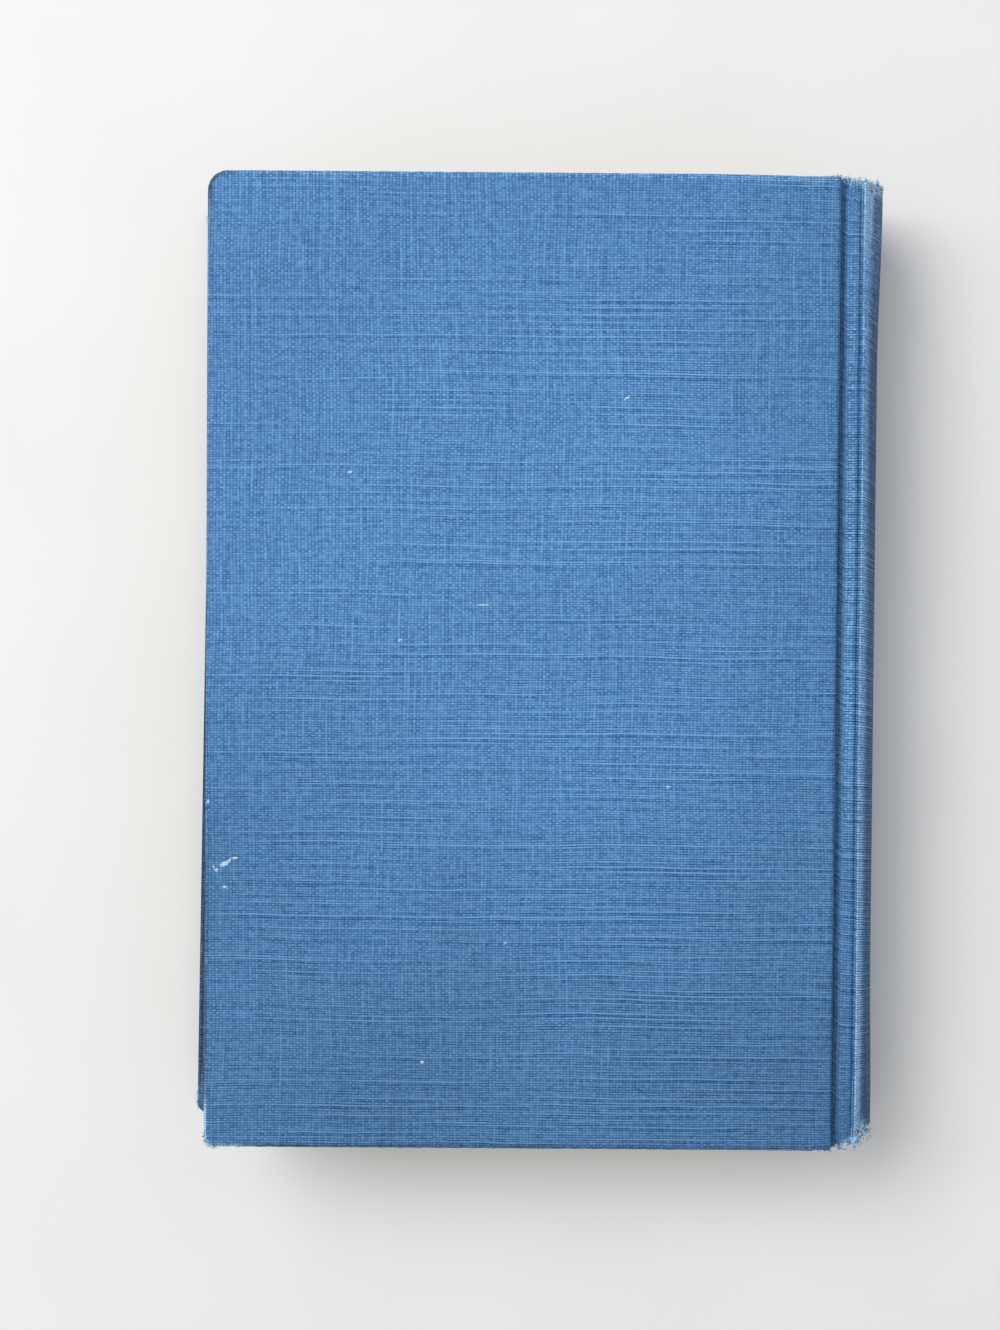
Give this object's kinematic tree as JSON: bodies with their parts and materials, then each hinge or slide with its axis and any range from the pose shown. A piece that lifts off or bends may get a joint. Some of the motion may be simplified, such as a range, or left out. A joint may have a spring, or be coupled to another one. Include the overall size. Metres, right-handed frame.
{
  "type": "hardback book",
  "caption": "Cloth-cased hardback book with rounded spine, French joints and two covers that open.",
  "frame": {"origin": "under the middle of the closed book, on the face it lies on", "axes": "+X from the fore-edge to the spine, +Y from the tail to the head, +Z from the front cover up to the back cover"},
  "size_m": [0.1468, 0.203, 0.0294],
  "materials": {
    "book_cloth": "linen-weave cloth, worn to a soft sheen",
    "binders_board": "dense grey-brown board",
    "leaf_paper": "toned book paper",
    "end_paper": "smooth toned paper",
    "spine_card": "thin card",
    "mull_cloth": "open-weave cotton, glued",
    "lining_paper": "brown paper, glued",
    "linen_thread": "waxed linen",
    "band_cloth": "woven cotton"
  },
  "bodies": {
    "book_block": {"leaves": "leaf_paper", "sewing_thread": "linen_thread", "mull": "mull_cloth", "spine_lining": "lining_paper", "head_band": "band_cloth", "tail_band": "band_cloth", "back_flyleaf": "end_paper", "front_flyleaf": "end_paper", "spine_strip": "spine_card", "spine_cloth": "book_cloth"},
    "back_cover": {"back_board": "binders_board", "back_cover_cloth": "book_cloth", "back_mull_flange": "mull_cloth", "back_pastedown": "end_paper"},
    "front_cover": {"front_board": "binders_board", "front_cover_cloth": "book_cloth", "front_mull_flange": "mull_cloth", "front_pastedown": "end_paper"}
  },
  "joints": [
    {"name": "back_cover_hinge", "type": "hinge", "parent": "book_block", "child": "back_cover", "pos_m": [0.0674, 0, 0.0289], "axis": [0, 1, 0], "range_deg": [0, 180]},
    {"name": "front_cover_hinge", "type": "hinge", "parent": "book_block", "child": "front_cover", "pos_m": [0.0628, 0, 0.0005], "axis": [0, -1, 0], "range_deg": [0, 180]}
  ]
}
